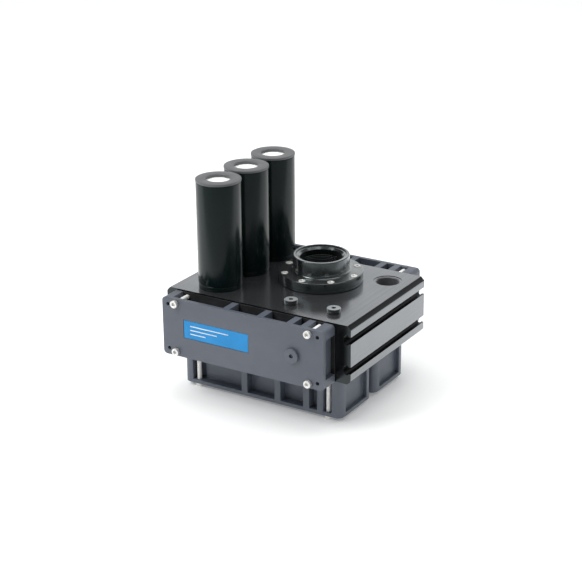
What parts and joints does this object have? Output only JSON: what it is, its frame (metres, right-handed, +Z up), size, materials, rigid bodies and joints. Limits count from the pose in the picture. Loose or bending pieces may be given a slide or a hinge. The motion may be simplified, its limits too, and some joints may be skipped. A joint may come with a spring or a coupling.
{
  "type": "multi-stage vacuum generator",
  "caption": "Air-driven vacuum generator: black extruded block with exhaust silencers, a flanged vacuum port, ribbed end covers and ribbed bottom covers.",
  "frame": {"origin": "under the middle of the block, on the plane that the heads of the bottom screws rest on", "axes": "+X to the right along the block, away from the silencers; +Y to the rear, along the extrusion; +Z up, along the silencers"},
  "size_m": [0.28, 0.2714, 0.2934],
  "materials": {
    "anodised_black": "black anodised extruded aluminium, satin gloss",
    "cover_grey": "slate grey moulded nylon, matte",
    "cover_slate": "blue-grey moulded nylon, matte",
    "seal_black": "black rubber",
    "bright_steel": "zinc plated steel",
    "silencer_black": "gloss black",
    "cap_grey": "grey moulded plastic",
    "felt_white": "white sound-absorbing felt",
    "plug_steel": "dark plated steel",
    "plate_blue": "printed blue label plate without text",
    "nozzle_brass": "machined brass",
    "flap_rubber": "dark red-brown rubber"
  },
  "bodies": {
    "housing": {"body_extrusion": "anodised_black", "name_plate": "plate_blue", "vacuum_port_flange": "anodised_black", "vacuum_port_seal": "seal_black", "vacuum_gauge_plug": "plug_steel", "supply_gauge_plug": "plug_steel", "test_port_plug": "cover_grey", "front_end_cover": "cover_grey", "front_end_gasket": "seal_black", "front_end_screw_1": "bright_steel", "front_end_screw_2": "bright_steel", "front_end_screw_3": "bright_steel", "front_end_screw_4": "bright_steel", "front_bottom_cover": "cover_slate", "front_bottom_gasket": "seal_black", "front_bottom_screw_1": "bright_steel", "front_bottom_screw_2": "bright_steel", "front_bottom_screw_3": "bright_steel", "front_bottom_screw_4": "bright_steel", "rear_end_cover": "cover_grey", "rear_end_gasket": "seal_black", "rear_end_screw_1": "bright_steel", "rear_end_screw_2": "bright_steel", "rear_end_screw_3": "bright_steel", "rear_end_screw_4": "bright_steel", "rear_bottom_cover": "cover_slate", "rear_bottom_gasket": "seal_black", "rear_bottom_screw_1": "bright_steel", "rear_bottom_screw_2": "bright_steel", "rear_bottom_screw_3": "bright_steel", "rear_bottom_screw_4": "bright_steel", "port_screw_1": "bright_steel", "port_screw_2": "bright_steel", "port_screw_3": "bright_steel", "port_screw_4": "bright_steel", "port_screw_5": "bright_steel", "port_screw_6": "bright_steel", "port_screw_7": "bright_steel", "port_screw_8": "bright_steel", "silencer_base_1": "silencer_black", "silencer_tube_1": "silencer_black", "silencer_cap_1": "cap_grey", "silencer_felt_1": "felt_white", "silencer_base_2": "silencer_black", "silencer_tube_2": "silencer_black", "silencer_cap_2": "cap_grey", "silencer_felt_2": "felt_white", "silencer_base_3": "silencer_black", "silencer_tube_3": "silencer_black", "silencer_cap_3": "cap_grey", "silencer_felt_3": "felt_white", "stage_1_nozzle_plate": "nozzle_brass", "stage_2_nozzle_plate": "nozzle_brass", "stage_3_nozzle_plate": "nozzle_brass", "diffuser_plate": "nozzle_brass"},
    "stage_2_flap_front": {"stage_2_flap_front": "flap_rubber"},
    "stage_2_flap_rear": {"stage_2_flap_rear": "flap_rubber"},
    "stage_3_flap_front": {"stage_3_flap_front": "flap_rubber"},
    "stage_3_flap_rear": {"stage_3_flap_rear": "flap_rubber"}
  },
  "joints": [
    {"name": "stage_2_flap_front_hinge", "type": "hinge", "parent": "housing", "child": "stage_2_flap_front", "pos_m": [0.031, -0.0271, 0.1166], "axis": [0, 1, 0], "range_deg": [0, 30], "stiffness_Nm_per_rad": 0.004},
    {"name": "stage_2_flap_rear_hinge", "type": "hinge", "parent": "housing", "child": "stage_2_flap_rear", "pos_m": [0.031, 0.0399, 0.1166], "axis": [0, 1, 0], "range_deg": [0, 30], "stiffness_Nm_per_rad": 0.004},
    {"name": "stage_3_flap_front_hinge", "type": "hinge", "parent": "housing", "child": "stage_3_flap_front", "pos_m": [-0.017, -0.0271, 0.1166], "axis": [0, 1, 0], "range_deg": [0, 30], "stiffness_Nm_per_rad": 0.004},
    {"name": "stage_3_flap_rear_hinge", "type": "hinge", "parent": "housing", "child": "stage_3_flap_rear", "pos_m": [-0.017, 0.0399, 0.1166], "axis": [0, 1, 0], "range_deg": [0, 30], "stiffness_Nm_per_rad": 0.004}
  ]
}
